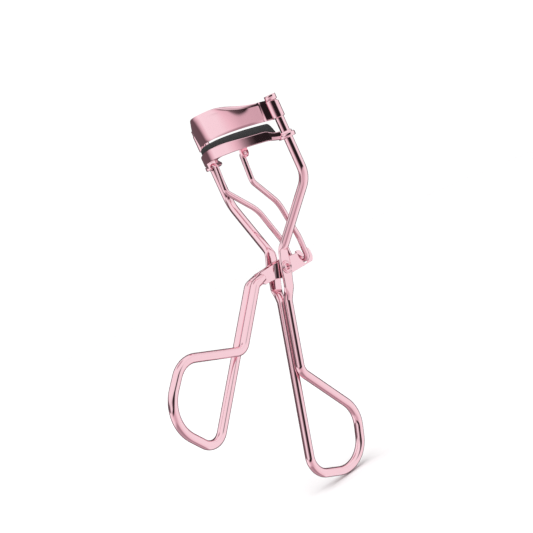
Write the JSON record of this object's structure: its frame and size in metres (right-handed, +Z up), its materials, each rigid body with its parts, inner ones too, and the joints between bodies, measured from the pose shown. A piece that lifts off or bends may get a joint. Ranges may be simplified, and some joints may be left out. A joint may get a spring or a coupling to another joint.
{
  "type": "eyelash curler",
  "caption": "Scissor-action eyelash curler: curved upper jaw fixed on guide rods, sliding lower jaw with a soft pad, lever and frame finger loops on a pivot.",
  "frame": {"origin": "bottom centre of the closed tool's bounding box", "axes": "+Z up the guide rods towards the jaws, X along the pivot pin, -Y the side the curved jaws bow towards"},
  "size_m": [0.0352, 0.0627, 0.1014],
  "materials": {
    "pink_chrome": "polished rose-pink chrome plate",
    "pad_rubber": "matt charcoal silicone"
  },
  "bodies": {
    "frame": {"guide_rod_right": "pink_chrome", "guide_rod_left": "pink_chrome", "frame_finger_loop": "pink_chrome", "upper_jaw_plate": "pink_chrome", "rod_end_caps": "pink_chrome", "pivot_rivet": "pink_chrome"},
    "lever": {"lever_finger_loop": "pink_chrome", "lever_bracket": "pink_chrome"},
    "lower_jaw": {"lower_jaw_channel": "pink_chrome", "jaw_pad": "pad_rubber", "link_lug_right": "pink_chrome", "link_lug_left": "pink_chrome"},
    "push_link": {"push_wire": "pink_chrome"}
  },
  "joints": [
    {"name": "lever_hinge", "type": "hinge", "parent": "frame", "child": "lever", "pos_m": [0, 0.01983, 0.0563], "axis": [1, 0, 0], "range_deg": [-40, 3.6]},
    {"name": "jaw_slide", "type": "slide", "parent": "frame", "child": "lower_jaw", "axis": [0, 0, 1], "range_m": [-0.00486, 0.00045]},
    {"name": "link_hinge", "type": "hinge", "parent": "lower_jaw", "child": "push_link", "pos_m": [0, 0.01963, 0.08775], "axis": [1, 0, 0], "range_deg": [-4, 0.5]}
  ],
  "couplings": [
    {"joint": "jaw_slide", "follows": "lever_hinge", "m_per_rad": 0.00694},
    {"joint": "link_hinge", "follows": "lever_hinge", "ratio": 0.098}
  ]
}
